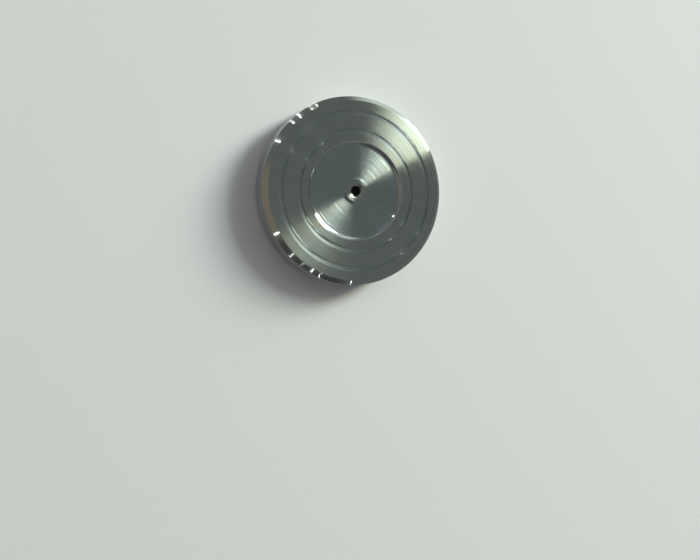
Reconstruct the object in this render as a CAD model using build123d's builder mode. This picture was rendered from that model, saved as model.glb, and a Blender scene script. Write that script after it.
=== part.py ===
"""Turned end plate: one solid disc, machined on both sides.

The front face is stepped: a chamfered rim, two face grooves, a shallow centre
recess and a small boss round the centre hole.  The back has a raised pilot
ring and a deep flat-bottomed pocket, which leaves a thin web behind the recess.

Frame: Z is the turning axis.  Z = 0 is the end of the pilot ring, which is
the face that the disc rests on, and the stepped front face looks up.
"""
from build123d import *
import os

# Driving dimensions, in millimetres -------------------------------------------

outer_diameter = 60.0
flange_thickness = 10.0      # rim, from its back face to the front face
rim_chamfer = 1.5            # 45 degrees, front edge of the rim

# Front face, taken from the rim inwards
rim_land = 4.5               # plain ring outside the outer groove
outer_land = 4.25            # plain ring between the two grooves
inner_land = 2.25            # plain ring between the inner groove and the recess
groove_width = 1.6
step_depth = 0.8             # the grooves and the recess share one depth
recess_sweep = 1.5           # radial width of the curved wall of the recess

# Centre
boss_diameter = 7.4
boss_height = 1.4            # above the floor of the recess
boss_foot_radius = 0.5
bore_diameter = 3.0
front_countersink = 0.7      # 45 degrees, leg
back_countersink = 0.45      # 45 degrees, leg

# Back
seat_width = 4.5             # plain ring outside the pilot
pilot_wall = 3.8             # radial thickness of the pilot ring
pilot_height = 1.0
web_thickness = 1.0          # left between the recess and the pocket
pocket_corner_radius = 0.4

edge_break = 0.3             # back edges, 45 degrees

# Sizes that follow ------------------------------------------------------------

rim_radius = outer_diameter / 2
boss_radius = boss_diameter / 2
bore_radius = bore_diameter / 2

outer_groove_outside = rim_radius - rim_land
outer_groove_inside = outer_groove_outside - groove_width
inner_groove_outside = outer_groove_inside - outer_land
inner_groove_inside = inner_groove_outside - groove_width
recess_radius = inner_groove_inside - inner_land
recess_floor_radius = recess_radius - recess_sweep

pilot_radius = rim_radius - seat_width
pocket_radius = pilot_radius - pilot_wall

front_z = pilot_height + flange_thickness
recess_floor_z = front_z - step_depth
boss_top_z = recess_floor_z + boss_height
pocket_roof_z = recess_floor_z - web_thickness


def circles_at(part, height):
    """Circular edges of the part at one height, smallest radius first."""
    edges = part.edges().filter_by(GeomType.CIRCLE)
    level = edges.filter_by_position(Axis.Z, height, height)
    return level.sort_by(SortBy.RADIUS)


with BuildPart() as turned_disc:
    # The blank with its recess, boss, pilot and pocket, from one half section
    with BuildSketch(Plane.XZ):
        with BuildLine():
            Polyline(
                (recess_radius, front_z),
                (rim_radius, front_z),
                (rim_radius, pilot_height),
                (pilot_radius, pilot_height),
                (pilot_radius, 0),
                (pocket_radius, 0),
                (pocket_radius, pocket_roof_z),
                (0, pocket_roof_z),
                (0, boss_top_z),
                (boss_radius, boss_top_z),
                (boss_radius, recess_floor_z),
                (recess_floor_radius, recess_floor_z),
            )
            # The wall of the recess rises out of its floor in one curve
            TangentArc(
                (recess_floor_radius, recess_floor_z),
                (recess_radius, front_z),
                tangent=(1, 0),
            )
        make_face()
    revolve(axis=Axis.Z)

    # Two face grooves
    with BuildSketch(Plane.XZ):
        for inside in (outer_groove_inside, inner_groove_inside):
            with Locations((inside, front_z)):
                Rectangle(groove_width, step_depth, align=(Align.MIN, Align.MAX))
    revolve(axis=Axis.Z, mode=Mode.SUBTRACT)

    # Centre hole, countersunk from the boss and lightly from the pocket
    with Locations((0, 0, boss_top_z)):
        CounterSinkHole(
            radius=bore_radius,
            counter_sink_radius=bore_radius + front_countersink,
            counter_sink_angle=90,
        )
    back_mouth = circles_at(turned_disc, pocket_roof_z)[0]
    chamfer(back_mouth, length=back_countersink)

    # Corners that a turning tool leaves rounded
    fillet(circles_at(turned_disc, recess_floor_z)[0], radius=boss_foot_radius)
    fillet(circles_at(turned_disc, pocket_roof_z)[-1], radius=pocket_corner_radius)

    # The chamfer of the rim, and the broken edges of the back
    chamfer(circles_at(turned_disc, front_z)[-1], length=rim_chamfer)
    chamfer(circles_at(turned_disc, pilot_height)[-1], length=edge_break)
    chamfer(circles_at(turned_disc, 0), length=edge_break)

turned_disc.part.label = "turned_disc"

os.makedirs("parts", exist_ok=True)
export_step(turned_disc.part, "parts/turned_disc.step")
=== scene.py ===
import math

import bpy
from mathutils import Matrix, Vector


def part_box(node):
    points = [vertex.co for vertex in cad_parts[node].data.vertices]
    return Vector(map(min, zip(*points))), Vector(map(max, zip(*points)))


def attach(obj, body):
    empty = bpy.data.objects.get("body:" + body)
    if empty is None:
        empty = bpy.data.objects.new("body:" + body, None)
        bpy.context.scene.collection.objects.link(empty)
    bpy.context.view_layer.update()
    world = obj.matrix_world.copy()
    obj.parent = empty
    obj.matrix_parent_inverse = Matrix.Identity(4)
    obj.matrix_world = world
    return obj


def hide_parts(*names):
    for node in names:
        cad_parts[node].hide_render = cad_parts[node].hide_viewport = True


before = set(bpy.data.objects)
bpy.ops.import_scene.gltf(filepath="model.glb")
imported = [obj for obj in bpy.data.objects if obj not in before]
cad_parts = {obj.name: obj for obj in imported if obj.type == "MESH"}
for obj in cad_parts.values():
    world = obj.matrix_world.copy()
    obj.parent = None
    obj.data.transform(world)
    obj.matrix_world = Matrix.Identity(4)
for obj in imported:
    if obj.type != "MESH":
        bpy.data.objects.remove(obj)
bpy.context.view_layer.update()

MM = 0.001

# Sizes of the disc, in millimetres ---------------------------------------------
# Z is the turning axis, and the disc rests on the end of its pilot ring.

_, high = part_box("turned_disc")
rim_radius = high.x / MM
boss_top_z = high.z / MM

# Front face
boss_rise = 0.6                # of the boss above the front face
front_z = boss_top_z - boss_rise
rim_chamfer = 1.5
step_depth = 0.8               # shared by the two grooves and the recess
step_z = front_z - step_depth
outer_groove = (25.5, 23.9)    # outside and inside radius
inner_groove = (19.65, 18.05)
recess_radius = 15.8
recess_floor_radius = 14.3

# Centre
boss_radius = 3.7
bore_radius = 1.5
front_countersink = 0.7
back_countersink = 0.45

# Back
pilot_height = 1.0
pilot_radius = 25.5
pocket_radius = 21.7
pocket_roof_z = 9.2
edge_break = 0.3

# Marks that the tools leave
sharp = 0.0                    # radius of an edge that was left as it was cut
lip = 0.025                    # radius of an edge that was only deburred
chamfer_lip = 0.08
groove_nose = 0.12             # corner radius at the bottom of a groove
boss_foot_nose = 0.5
pocket_nose = 0.4
seat_nose = 0.12               # where the pilot meets the seat ring
mouth_nose = 1.0               # where the countersink meets the top of the boss
back_mouth_nose = 0.05
score_radii = (13.5, 7.9)      # rings where the facing tool was stopped
score_width = 0.16
score_depth = 0.012

turning_steps = 360            # facets round the disc
arc_step = 18.0                # degrees of a corner between two points
wall_points = 14               # steps up the curved wall of the recess
side_share = 0.45              # of a side of the section that one corner may take
guard = 0.02                   # from the end of a corner to the point beside it
crease_angle = 35              # degrees; the shading breaks at sharper edges


# The section ------------------------------------------------------------------

def corner(r, z, nose=lip):
    """A corner of the section: radius, height and the rounding it gets."""
    return Vector((r, z)), nose


def recess_wall():
    """Points of the recess wall, an arc that leaves its floor without a corner."""
    run = recess_radius - recess_floor_radius
    arc_radius = (run ** 2 + step_depth ** 2) / (2 * step_depth)
    sweep = math.atan2(run, arc_radius - step_depth)
    points = []
    for i in range(1, wall_points):
        a = sweep * i / wall_points
        points.append(corner(
            recess_floor_radius + arc_radius * math.sin(a),
            step_z + arc_radius * (1 - math.cos(a)),
            sharp,
        ))
    return points


def groove(outside, inside):
    """Corners of a face groove, from its inner lip to its outer lip."""
    return [
        corner(inside, front_z, sharp),
        corner(inside, step_z, groove_nose),
        corner(outside, step_z, groove_nose),
        corner(outside, front_z, sharp),
    ]


def score(radius):
    """A fine ring scored in the floor of the recess."""
    return [
        corner(radius - score_width / 2, step_z, sharp),
        corner(radius, step_z - score_depth, sharp),
        corner(radius + score_width / 2, step_z, sharp),
    ]


def front_corners():
    """Corners of the section from the bore, over the front, to the rim."""
    mouth = bore_radius + front_countersink
    return [
        corner(bore_radius, boss_top_z - front_countersink),
        corner(mouth, boss_top_z, mouth_nose),
        corner(boss_radius, boss_top_z),
        corner(boss_radius, step_z, boss_foot_nose),
        *score(score_radii[1]),
        *score(score_radii[0]),
        corner(recess_floor_radius, step_z, sharp),
        *recess_wall(),
        corner(recess_radius, front_z, sharp),
        *groove(*inner_groove),
        *groove(*outer_groove),
        corner(rim_radius - rim_chamfer, front_z, chamfer_lip),
        corner(rim_radius, front_z - rim_chamfer, chamfer_lip),
    ]


def back_corners():
    """Corners of the section from the rim, over the back, to the bore."""
    return [
        corner(rim_radius, pilot_height + edge_break),
        corner(rim_radius - edge_break, pilot_height),
        corner(pilot_radius, pilot_height, seat_nose),
        corner(pilot_radius, edge_break),
        corner(pilot_radius - edge_break, 0),
        corner(pocket_radius + edge_break, 0),
        corner(pocket_radius, edge_break),
        corner(pocket_radius, pocket_roof_z, pocket_nose),
        corner(bore_radius + back_countersink, pocket_roof_z, back_mouth_nose),
        corner(bore_radius, pocket_roof_z + back_countersink),
    ]


def rounded(before, here, after, nose):
    """Points of one corner of the section, with an arc of the nose radius."""
    back = (before - here).normalized()
    ahead = (after - here).normalized()
    half = back.angle(ahead) / 2
    if nose == sharp:
        return [here]
    reach = min(
        nose / math.tan(half),
        (before - here).length * side_share,
        (after - here).length * side_share,
    )
    radius = reach * math.tan(half)
    centre = here + (back + ahead).normalized() * radius / math.sin(half)
    start = here + back * reach - centre
    end = here + ahead * reach - centre
    turn = math.atan2(start.x * end.y - start.y * end.x, start.dot(end))
    count = max(2, math.ceil(math.degrees(abs(turn)) / arc_step))
    points = []
    for i in range(count + 1):
        a = turn * i / count
        points.append(centre + Vector((
            start.x * math.cos(a) - start.y * math.sin(a),
            start.x * math.sin(a) + start.y * math.cos(a),
        )))
    return points


def section_loop():
    """Closed section of the disc, in millimetres, with a point beside each arc.

    The points beside the arcs keep the shading of the flat rings flat.
    """
    corners = front_corners() + back_corners()
    size = len(corners)
    arcs = []
    for i, (here, nose) in enumerate(corners):
        before = corners[i - 1][0]
        after = corners[(i + 1) % size][0]
        arcs.append(rounded(before, here, after, nose))
    loop = []
    for i, arc in enumerate(arcs):
        loop += arc
        following = arcs[(i + 1) % size][0]
        gap = following - arc[-1]
        if gap.length > 4 * guard:
            loop.append(arc[-1] + gap.normalized() * guard)
            loop.append(following - gap.normalized() * guard)
    return loop


def section_object():
    """The section as a loop of edges: X is the radius and -Y the height."""
    points = [(p.x * MM, -p.y * MM, 0) for p in section_loop()]
    edges = [(i, (i + 1) % len(points)) for i in range(len(points))]
    mesh = bpy.data.meshes.new("disc_section")
    mesh.from_pydata(points, edges, [])
    thing = bpy.data.objects.new("disc_section", mesh)
    bpy.context.scene.collection.objects.link(thing)
    return thing


# Turning the section into the disc ---------------------------------------------

def lathe_tree():
    """Node group that sweeps a closed section round Z and joins its ends."""
    tree = bpy.data.node_groups.new("lathe", "GeometryNodeTree")
    sockets = tree.interface
    sockets.new_socket("Section", in_out="INPUT", socket_type="NodeSocketGeometry")
    sockets.new_socket("Steps round", in_out="INPUT", socket_type="NodeSocketInt")
    sockets.new_socket("Guide radius", in_out="INPUT", socket_type="NodeSocketFloat")
    sockets.new_socket("Finish", in_out="INPUT", socket_type="NodeSocketMaterial")
    sockets.new_socket("Disc", in_out="OUTPUT", socket_type="NodeSocketGeometry")

    nodes = tree.nodes
    given = nodes.new("NodeGroupInput")
    ring = nodes.new("GeometryNodeCurvePrimitiveCircle")
    upright = nodes.new("GeometryNodeSetCurveNormal")
    upright.mode = "Z_UP"
    inward = nodes.new("ShaderNodeMath")
    inward.operation = "MULTIPLY"
    inward.inputs[1].default_value = -1
    offset = nodes.new("ShaderNodeCombineXYZ")
    shift = nodes.new("GeometryNodeSetPosition")
    outline = nodes.new("GeometryNodeMeshToCurve")
    sweep = nodes.new("GeometryNodeCurveToMesh")
    smooth = nodes.new("GeometryNodeSetShadeSmooth")
    real = nodes.new("GeometryNodeRealizeInstances")
    finish = nodes.new("GeometryNodeSetMaterial")
    made = nodes.new("NodeGroupOutput")

    link = tree.links.new
    link(given.outputs["Steps round"], ring.inputs["Resolution"])
    link(given.outputs["Guide radius"], ring.inputs["Radius"])
    link(ring.outputs["Curve"], upright.inputs["Curve"])
    link(given.outputs["Guide radius"], inward.inputs[0])
    link(inward.outputs[0], offset.inputs["X"])
    link(given.outputs["Section"], shift.inputs["Geometry"])
    link(offset.outputs["Vector"], shift.inputs["Offset"])
    link(shift.outputs["Geometry"], outline.inputs["Mesh"])
    link(upright.outputs["Curve"], sweep.inputs["Curve"])
    link(outline.outputs["Curve"], sweep.inputs["Profile Curve"])
    link(sweep.outputs["Mesh"], smooth.inputs["Geometry"])
    link(smooth.outputs["Geometry"], real.inputs["Geometry"])
    link(real.outputs["Geometry"], finish.inputs["Geometry"])
    link(given.outputs["Finish"], finish.inputs["Material"])
    link(finish.outputs["Geometry"], made.inputs["Disc"])
    return tree


def turn_disc(finish):
    """The disc as a plain mesh, turned from its section."""
    section = section_object()
    turning = section.modifiers.new("turning", "NODES")
    turning.node_group = lathe_tree()
    settings = {
        "Steps round": turning_steps,
        "Guide radius": rim_radius * MM,
        "Finish": finish,
    }
    for item in turning.node_group.interface.items_tree:
        if item.in_out == "INPUT" and item.name in settings:
            turning[item.identifier] = settings[item.name]
    bpy.context.view_layer.update()
    evaluated = section.evaluated_get(bpy.context.evaluated_depsgraph_get())
    mesh = bpy.data.meshes.new_from_object(evaluated)
    mesh.name = "turned_disc_skin"
    mesh.set_sharp_from_angle(angle=math.radians(crease_angle))
    bpy.data.objects.remove(section)
    disc = bpy.data.objects.new("turned_disc_skin", mesh)
    bpy.context.scene.collection.objects.link(disc)
    return disc


# Finish -------------------------------------------------------------------------

def sums(tree, operation, *values):
    """Output of a Math node that is fed with numbers or sockets."""
    node = tree.nodes.new("ShaderNodeMath")
    node.operation = operation
    for socket, value in zip(node.inputs, values):
        if isinstance(value, (int, float)):
            socket.default_value = value
        else:
            tree.links.new(value, socket)
    return node.outputs[0]


def vectors(tree, operation, *values):
    """Output of a Vector Math node; a plain number goes to its Scale socket."""
    node = tree.nodes.new("ShaderNodeVectorMath")
    node.operation = operation
    sockets = list(node.inputs[:2])
    if operation == "SCALE":
        sockets = [node.inputs[0], node.inputs["Scale"]]
    for socket, value in zip(sockets, values):
        if isinstance(value, (int, float, tuple)):
            socket.default_value = value
        else:
            tree.links.new(value, socket)
    return node.outputs[0]


def from_parts(tree, x=0.0, y=0.0, z=0.0):
    """A vector from three numbers or sockets."""
    node = tree.nodes.new("ShaderNodeCombineXYZ")
    for socket, value in zip(node.inputs, (x, y, z)):
        if isinstance(value, (int, float)):
            socket.default_value = value
        else:
            tree.links.new(value, socket)
    return node.outputs[0]


def tool_lines(tree, across, around, lines_per_mm):
    """Noise from -0.5 to 0.5 that runs in lines round the axis.

    It changes quickly across the lines and slowly along them.
    """
    noise = tree.nodes.new("ShaderNodeTexNoise")
    noise.noise_dimensions = "4D"
    noise.inputs["Scale"].default_value = 1
    noise.inputs["Detail"].default_value = 2
    noise.inputs["Roughness"].default_value = 0.6
    along_the_line = vectors(tree, "SCALE", around, line_waver)
    tree.links.new(along_the_line, noise.inputs["Vector"])
    tree.links.new(sums(tree, "MULTIPLY", across, lines_per_mm), noise.inputs["W"])
    return sums(tree, "SUBTRACT", noise.outputs[0], 0.5)


def clouds(tree, place, scale, detail):
    """Soft noise from -0.5 to 0.5."""
    noise = tree.nodes.new("ShaderNodeTexNoise")
    noise.inputs["Scale"].default_value = scale
    noise.inputs["Detail"].default_value = detail
    tree.links.new(place, noise.inputs["Vector"])
    return sums(tree, "SUBTRACT", noise.outputs[0], 0.5)


def ramp(tree, value, zero_at, one_at):
    """0 to 1, held at the ends, while a value goes from one number to another."""
    slope = 1 / (one_at - zero_at)
    result = sums(tree, "MULTIPLY_ADD", value, slope, -zero_at * slope)
    result.node.use_clamp = True
    return result


def colour_mix(tree, blend, share, first, second):
    """Output of a colour mix; each colour is a socket or a plain colour."""
    node = tree.nodes.new("ShaderNodeMix")
    node.data_type = "RGBA"
    node.blend_type = blend
    tree.links.new(share, node.inputs["Factor"])
    for name, colour in (("A", first), ("B", second)):
        if isinstance(colour, tuple):
            node.inputs[name].default_value = colour
        else:
            tree.links.new(colour, node.inputs[name])
    return node.outputs["Result"]


def by_zone(tree, elsewhere, *choices):
    """A number that is set zone by zone, with one more value elsewhere."""
    result = elsewhere
    for zone, value in choices:
        result = sums(tree, "MULTIPLY_ADD", zone, value - elsewhere, result)
    return result


# Lean of the tool lines, outwards, and roughness, zone by zone
land_lean, land_roughness = -0.020, 0.118
groove_lean, groove_roughness = -0.034, 0.176
recess_lean, recess_roughness = -0.016, 0.134
chamfer_lean, chamfer_roughness = -0.35, 0.13
wall_roughness = 0.2           # of walls, the rim and the back
bend_roughness = 0.12          # of the recess wall and the rounded corners

# Tool lines: how many to a millimetre, and how far they tilt the surface
broad_lines, broad_tilt = 2.4, 0.075
fine_lines, fine_tilt = 6.0, 0.06
wall_lines, wall_tilt = 5.0, 0.08
tone_lines = 2.5
line_waver = 0.12              # change along a line, against the change across it
bend_calm = 0.8                # share of the tilt that bends and walls lose

# Slopes, as the height of the unit normal
flat_above, bend_below = 11.8 / 12, 0.9
wall_below, bend_above = 1 / 3, 0.5

# Tones of the metal
dark_tone = (0.47, 0.49, 0.47, 1)
light_tone = (0.64, 0.66, 0.64, 1)
step_tint = (0.94, 0.975, 1.045, 1)     # over what lies a step below the front
line_contrast, ray_contrast = 0.8, 0.6
ray_scale = 9
smear_scale, smear_depth = 70, 0.03     # soft smears in the roughness


def turned_steel():
    """Bright turned steel, with the fine lines of the tool round the axis."""
    material = bpy.data.materials.new("turned_steel_finish")
    material.use_nodes = True
    tree = material.node_tree
    link = tree.links.new
    metal = tree.nodes["Principled BSDF"]
    metal.inputs["Metallic"].default_value = 1
    metal.inputs["Anisotropic"].default_value = 1
    metal.inputs["Anisotropic Rotation"].default_value = 0.25

    # Places on the disc: radius and height in millimetres, and the two directions
    place = tree.nodes.new("ShaderNodeTexCoord")
    parts = tree.nodes.new("ShaderNodeSeparateXYZ")
    link(place.outputs["Object"], parts.inputs["Vector"])
    x, y, z = parts.outputs
    flat = from_parts(tree, x, y)
    outward = vectors(tree, "NORMALIZE", flat)
    along = vectors(tree, "NORMALIZE", from_parts(tree, sums(tree, "MULTIPLY", y, -1.0), x))
    reach = tree.nodes.new("ShaderNodeVectorMath")
    reach.operation = "LENGTH"
    link(flat, reach.inputs[0])
    radius = sums(tree, "MULTIPLY", reach.outputs["Value"], 1 / MM)
    height = sums(tree, "MULTIPLY", z, 1 / MM)

    # Zones: the chamfer, the front rings, and what lies a step below them
    in_rim = sums(tree, "LESS_THAN", radius, rim_radius - rim_chamfer)
    above_middle = sums(tree, "GREATER_THAN", height, front_z - step_depth / 2)
    over_web = sums(tree, "GREATER_THAN", height, (step_z + pocket_roof_z) / 2)
    over_side = sums(tree, "GREATER_THAN", height, front_z - rim_chamfer)
    past_recess = sums(tree, "GREATER_THAN", radius, recess_radius)
    on_land = sums(tree, "MULTIPLY", in_rim, above_middle)
    on_chamfer = sums(tree, "MULTIPLY", over_side, sums(tree, "SUBTRACT", 1.0, in_rim))
    on_step = sums(tree, "MULTIPLY", in_rim, sums(tree, "SUBTRACT", over_web, above_middle))
    on_groove = sums(tree, "MULTIPLY", on_step, past_recess)
    on_recess = sums(tree, "SUBTRACT", on_step, on_groove)

    # Slopes: steep is all that isn't flat, and bend leaves out the upright walls
    shape = tree.nodes.new("ShaderNodeNewGeometry")
    upward = tree.nodes.new("ShaderNodeSeparateXYZ")
    link(shape.outputs["Normal"], upward.inputs["Vector"])
    on_front = sums(tree, "MULTIPLY", in_rim, over_web)
    steep = ramp(tree, upward.outputs["Z"], flat_above, bend_below)
    steep = sums(tree, "MULTIPLY", steep, on_front)
    not_wall = ramp(tree, upward.outputs["Z"], wall_below, bend_above)
    bend = sums(tree, "MULTIPLY", steep, not_wall)

    # Tool lines lean the surface in and out, or up and down on the walls
    broad = tool_lines(tree, radius, outward, broad_lines)
    fine = tool_lines(tree, radius, outward, fine_lines)
    wall = tool_lines(tree, height, outward, wall_lines)
    calm = sums(tree, "MULTIPLY_ADD", steep, -bend_calm, 1.0)
    waves = sums(tree, "MULTIPLY", broad, broad_tilt)
    waves = sums(tree, "MULTIPLY_ADD", fine, fine_tilt, waves)
    lean = by_zone(
        tree, 0.0,
        (on_land, land_lean),
        (on_groove, groove_lean),
        (on_recess, recess_lean),
        (on_chamfer, chamfer_lean),
    )
    lean = sums(tree, "MULTIPLY_ADD", waves, calm, lean)
    rise = sums(tree, "MULTIPLY", sums(tree, "MULTIPLY", wall, calm), wall_tilt)
    normal = vectors(tree, "ADD", shape.outputs["Normal"], vectors(tree, "SCALE", outward, lean))
    normal = vectors(tree, "ADD", normal, from_parts(tree, z=rise))
    link(vectors(tree, "NORMALIZE", normal), metal.inputs["Normal"])
    link(along, metal.inputs["Tangent"])

    # Roughness by zone and slope, with soft smears
    rough = by_zone(
        tree, wall_roughness,
        (on_land, land_roughness),
        (on_groove, groove_roughness),
        (on_recess, recess_roughness),
        (on_chamfer, chamfer_roughness),
    )
    change = sums(tree, "SUBTRACT", bend_roughness, rough)
    rough = sums(tree, "MULTIPLY_ADD", bend, change, rough)
    smear = clouds(tree, place.outputs["Object"], smear_scale, 3)
    rough = sums(tree, "MULTIPLY_ADD", smear, smear_depth, rough)
    link(rough, metal.inputs["Roughness"])

    # Tone, in faint lines and rays, a little darker and cooler on the lower floors
    lines = tool_lines(tree, radius, outward, tone_lines)
    rays = clouds(tree, outward, ray_scale, 2)
    share = sums(tree, "MULTIPLY_ADD", lines, line_contrast, 0.5)
    share = sums(tree, "MULTIPLY_ADD", rays, ray_contrast, share)
    tone = colour_mix(tree, "MIX", share, dark_tone, light_tone)
    tone = colour_mix(tree, "MULTIPLY", on_step, tone, step_tint)
    link(tone, metal.inputs["Base Color"])
    return material


# Studio -------------------------------------------------------------------------

floor_radius = 3.0             # metres, of the flat part of the floor
floor_centre = 0.2             # metres, of the ring of faces in the middle
sweep_radius = 0.25            # where the floor curves up into the backdrop
backdrop_height = 0.5
floor_colour = (0.83, 0.81, 0.87, 1)
lamp_distance = 2.5
small_lamp_radius = 0.012

camera_distance = 0.2367       # from the middle of the front face
camera_towards = (192.8, 69.33)         # azimuth and elevation
camera_aim = Vector((-2.1, -28.3, 0))   # millimetres off the middle of the face
camera_lens = 38.06

# Lamps: two ends of the near edge, width, brightness and colour
key_lamps = {
    "key_top": ((16.0, 64.7), (21.8, 45.6), 0.1, 3.4, (0.92, 1, 0.79)),
    "key_warm": ((21.9, 46.0), (24.3, 20.0), 0.12, 24, (0.98, 1, 0.73)),
    "key_cool": ((31.4, 46.7), (31.2, 20.9), 0.117, 24, (0.78, 1, 0.96)),
    "key_low": ((22.5, 32.4), (23.4, 13.3), 0.201, 9, (0.98, 1, 0.86)),
}

# Small lamps of the room: azimuth of the glint on the rim chamfer, and light
room_lamps = (
    (116, 0.008), (120, 0.008), (129, 0.018), (135, 0.012), (150, 0.014),
    (208, 0.014), (224, 0.009), (233, 0.003), (240, 0.011), (246, 0.006), (267, 0.004),
)
glint_slope = 27               # degrees, of the leaning tool lines on the chamfer
ceiling_lamps = ((94, 56), (121, 59))
ceiling_light = 0.05

# The surround: its level and colour, and patches given by their middle, the
# angles where they start and end to fade, and a colour
sky_level = 0.163
sky_colour = (0.89, 1.0, 0.96, 1)
sky_patches = (
    ((45, 28), 14, 26, (5.7, 6.2, 5.8, 1)),         # window
    ((240, 40), 32, 44, (0.40, 0.40, 0.41, 1)),     # dark of the room
    ((186, 52), 16, 28, (1.5, 1.3, 1.05, 1)),       # warm wall
)


def floor_finish():
    """A plain pale matt surface."""
    material = bpy.data.materials.new("pale_floor")
    material.use_nodes = True
    surface = material.node_tree.nodes["Principled BSDF"]
    surface.inputs["Base Color"].default_value = floor_colour
    surface.inputs["Roughness"].default_value = 0.9
    return material


def studio_floor():
    """A pale round floor that curves up into a low backdrop on all sides."""
    steps, sweep_steps = 96, 12
    rings = [(floor_centre, 0.0), (floor_radius, 0.0)]
    for i in range(1, sweep_steps + 1):
        a = math.pi / 2 * i / sweep_steps
        rings.append((
            floor_radius + sweep_radius * math.sin(a),
            sweep_radius * (1 - math.cos(a)),
        ))
    rings.append((floor_radius + sweep_radius, backdrop_height))
    points = [(0, 0, 0)]
    for r, z in rings:
        for k in range(steps):
            a = 2 * math.pi * k / steps
            points.append((r * math.cos(a), r * math.sin(a), z))
    faces = [(0, 1 + k, 1 + (k + 1) % steps) for k in range(steps)]
    for j in range(len(rings) - 1):
        first = 1 + j * steps
        for k in range(steps):
            n = (k + 1) % steps
            faces.append((first + k, first + steps + k, first + steps + n, first + n))
    mesh = bpy.data.meshes.new("studio_floor")
    mesh.from_pydata(points, [], faces)
    for face in mesh.polygons:
        face.use_smooth = True
    floor = bpy.data.objects.new("studio_floor", mesh)
    floor.data.materials.append(floor_finish())
    bpy.context.scene.collection.objects.link(floor)
    return floor


def direction(azimuth, elevation):
    """Unit vector towards an azimuth from +X and an elevation, in degrees."""
    a, e = math.radians(azimuth), math.radians(elevation)
    return Vector((math.cos(a) * math.cos(e), math.sin(a) * math.cos(e), math.sin(e)))


def aimed(place, target):
    """Matrix of something at a place whose -Z looks at the target, with +Y up."""
    ahead = (target - place).normalized()
    right = ahead.cross(Vector((0, 1, 0))).normalized()
    over = right.cross(ahead)
    turn = Matrix((right, over, -ahead)).transposed().to_4x4()
    return Matrix.Translation(place) @ turn


def soft_lamp(name, near, far, width, brightness, colour):
    """A flat rectangular lamp, placed by one of its long edges.

    The edge runs between two directions, each an azimuth and an elevation.  The
    lamp reaches from there against the clock, seen from above, by a width that
    is given as a share of the lamp's distance.
    """
    start, end = direction(*near) * lamp_distance, direction(*far) * lamp_distance
    width = width * lamp_distance
    edge = end - start
    facing = -(start + end).normalized()
    side = facing.cross(edge).normalized()
    if side.dot(Vector((0, 0, 1)).cross(start)) < 0:
        side = -side
    lamp = bpy.data.lights.new(name, "AREA")
    lamp.shape = "RECTANGLE"
    lamp.size = edge.length
    lamp.size_y = width
    lamp.energy = brightness * math.pi * edge.length * width
    lamp.color = colour
    thing = bpy.data.objects.new(name, lamp)
    axis = edge.normalized()
    over = -facing
    turn = Matrix((axis, over.cross(axis), over)).transposed().to_4x4()
    centre = (start + end + side * width) / 2
    thing.matrix_world = Matrix.Translation(centre) @ turn
    bpy.context.scene.collection.objects.link(thing)


def small_lamp(name, place, light):
    """A small round lamp; light is what falls on a surface that faces it."""
    lamp = bpy.data.lights.new(name, "POINT")
    lamp.shadow_soft_size = small_lamp_radius
    lamp.energy = light * 4 * math.pi * lamp_distance ** 2
    thing = bpy.data.objects.new(name, lamp)
    thing.location = place
    bpy.context.scene.collection.objects.link(thing)


face_centre = Vector((0, 0, front_z * MM))
camera_place = face_centre + direction(*camera_towards) * camera_distance


def glint_place(azimuth):
    """Where a lamp has to stand to glint to the camera from the rim chamfer."""
    facing = direction(azimuth, 90 - glint_slope)
    rim = direction(azimuth, 0) * (rim_radius - rim_chamfer / 2) * MM
    rim.z = (front_z - rim_chamfer / 2) * MM
    view = (camera_place - rim).normalized()
    return rim + (2 * facing.dot(view) * facing - view) * lamp_distance


def studio_camera():
    """The camera, above the disc and a little to its left."""
    aim = face_centre + camera_aim * MM
    lens = bpy.data.cameras.new("studio_camera")
    lens.sensor_width = 36
    lens.lens = camera_lens
    lens.clip_start = 0.01
    lens.clip_end = 10
    camera = bpy.data.objects.new("studio_camera", lens)
    camera.matrix_world = aimed(camera_place, aim)
    bpy.context.scene.collection.objects.link(camera)
    bpy.context.scene.camera = camera


def part_of_sky(tree, towards, inner, outer):
    """1 within an angle of a direction in the sky, falling to 0 at a wider one."""
    place = tree.nodes.new("ShaderNodeTexCoord")
    nearness = tree.nodes.new("ShaderNodeVectorMath")
    nearness.operation = "DOT_PRODUCT"
    tree.links.new(place.outputs["Generated"], nearness.inputs[0])
    nearness.inputs[1].default_value = direction(*towards)
    fade = tree.nodes.new("ShaderNodeMapRange")
    fade.interpolation_type = "SMOOTHSTEP"
    fade.inputs["From Min"].default_value = math.cos(math.radians(outer))
    fade.inputs["From Max"].default_value = math.cos(math.radians(inner))
    tree.links.new(nearness.outputs["Value"], fade.inputs["Value"])
    return fade.outputs["Result"]


def studio_world():
    """A dim surround with a window, the dark of the room and a warm wall in it."""
    world = bpy.data.worlds.new("studio_world")
    world.use_nodes = True
    tree = world.node_tree
    sky = tree.nodes["Background"]
    sky.inputs["Strength"].default_value = sky_level
    colour = sky_colour
    for towards, inner, outer, patch in sky_patches:
        share = part_of_sky(tree, towards, inner, outer)
        colour = colour_mix(tree, "MIX", share, colour, patch)
    tree.links.new(colour, sky.inputs["Color"])
    bpy.context.scene.world = world


# The scene ----------------------------------------------------------------------

disc = turn_disc(turned_steel())
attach(disc, "root")
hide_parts("turned_disc")

studio_floor()
studio_world()
for name, settings in key_lamps.items():
    soft_lamp(name, *settings)
for number, (azimuth, light) in enumerate(room_lamps):
    small_lamp(f"room_lamp_{number}", glint_place(azimuth), light)
for number, towards in enumerate(ceiling_lamps):
    small_lamp(f"ceiling_lamp_{number}", direction(*towards) * lamp_distance, ceiling_light)
studio_camera()

bpy.context.scene.view_settings.view_transform = "Standard"
